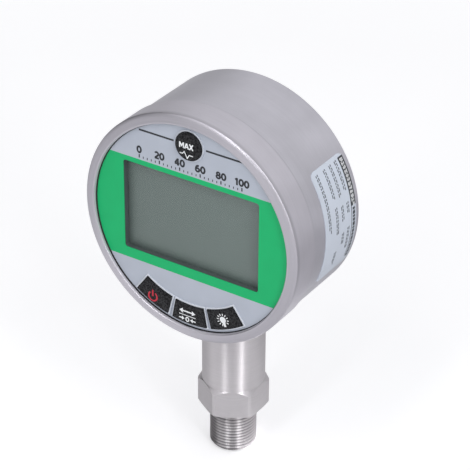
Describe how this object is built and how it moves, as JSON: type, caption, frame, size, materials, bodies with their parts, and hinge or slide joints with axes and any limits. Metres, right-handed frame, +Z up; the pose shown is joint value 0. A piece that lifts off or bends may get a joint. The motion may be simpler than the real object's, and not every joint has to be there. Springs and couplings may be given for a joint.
{
  "type": "digital pressure gauge",
  "caption": "Digital pressure gauge: round steel case with a recessed display and raised keys on its face, on a bottom stem with a hexagon and a male pressure thread.",
  "frame": {"origin": "centre of the pressure port's mouth, at the tip of the stem", "axes": "+Z up the stem's axis to the case, -Y out of the display face, +X to the right seen from the front"},
  "size_m": [0.1, 0.0529, 0.171],
  "materials": {
    "drum_steel": "satin stainless, fine brushing round the drum",
    "bezel_steel": "satin stainless, turned, with a polished rounded lip",
    "stem_steel": "turned stainless, semi-bright",
    "seal_rubber": "matt black rubber",
    "panel": "smooth light blue-grey, satin",
    "surround": "emerald green film, satin",
    "clear_window": "clear acrylic",
    "black_plastic": "matt black",
    "display": "blank reflective display, grey-green",
    "milky_plastic": "milky light guide",
    "key_plastic": "black, fine texture",
    "board": "green solder resist",
    "brass": "turned brass",
    "white_plastic": "white nylon",
    "cell_wrap": "plain blue wrap",
    "plated_steel": "nickel plated",
    "red_wire": "red insulation",
    "black_wire": "black insulation",
    "grey_wire": "grey sheath",
    "label": "silver-white label film"
  },
  "bodies": {
    "gauge": {"case_drum": "drum_steel", "front_bezel": "bezel_steel", "bezel_gasket": "seal_rubber", "front_panel": "panel", "display_surround": "surround", "display_window": "clear_window", "lcd_frame": "black_plastic", "lcd_glass": "display", "backlight_panel": "milky_plastic", "contact_strips": "seal_rubber", "key_switches": "black_plastic", "main_board": "board", "main_chip": "black_plastic", "sensor_socket": "white_plastic", "board_screws": "brass", "board_standoffs": "brass", "battery_holder": "black_plastic", "battery_1": "cell_wrap", "battery_2": "cell_wrap", "battery_3": "cell_wrap", "battery_contacts": "plated_steel", "battery_lead_red": "red_wire", "battery_lead_black": "black_wire", "holder_screws": "plated_steel", "rear_gasket": "seal_rubber", "rear_cover": "bezel_steel", "rear_cover_screws": "plated_steel", "rear_cover_nuts": "brass", "pressure_stem": "stem_steel", "sensor_capsule": "stem_steel", "sensor_o_ring": "seal_rubber", "sensor_retainer": "brass", "sensor_board": "board", "sensor_cable": "grey_wire", "rating_label": "label"},
    "peak_key": {"peak_key": "key_plastic", "peak_switch_button": "black_plastic"},
    "power_key": {"power_key": "key_plastic", "power_switch_button": "black_plastic"},
    "unit_zero_key": {"unit_zero_key": "key_plastic", "unit_zero_switch_button": "black_plastic"},
    "light_key": {"light_key": "key_plastic", "light_switch_button": "black_plastic"}
  },
  "joints": [
    {"name": "peak_press", "type": "slide", "parent": "gauge", "child": "peak_key", "axis": [0, 1, 0], "range_m": [0, 0.0006], "stiffness_N_per_m": 3000},
    {"name": "power_press", "type": "slide", "parent": "gauge", "child": "power_key", "axis": [0, 1, 0], "range_m": [0, 0.0006], "stiffness_N_per_m": 3000},
    {"name": "unit_zero_press", "type": "slide", "parent": "gauge", "child": "unit_zero_key", "axis": [0, 1, 0], "range_m": [0, 0.0006], "stiffness_N_per_m": 3000},
    {"name": "light_press", "type": "slide", "parent": "gauge", "child": "light_key", "axis": [0, 1, 0], "range_m": [0, 0.0006], "stiffness_N_per_m": 3000}
  ]
}
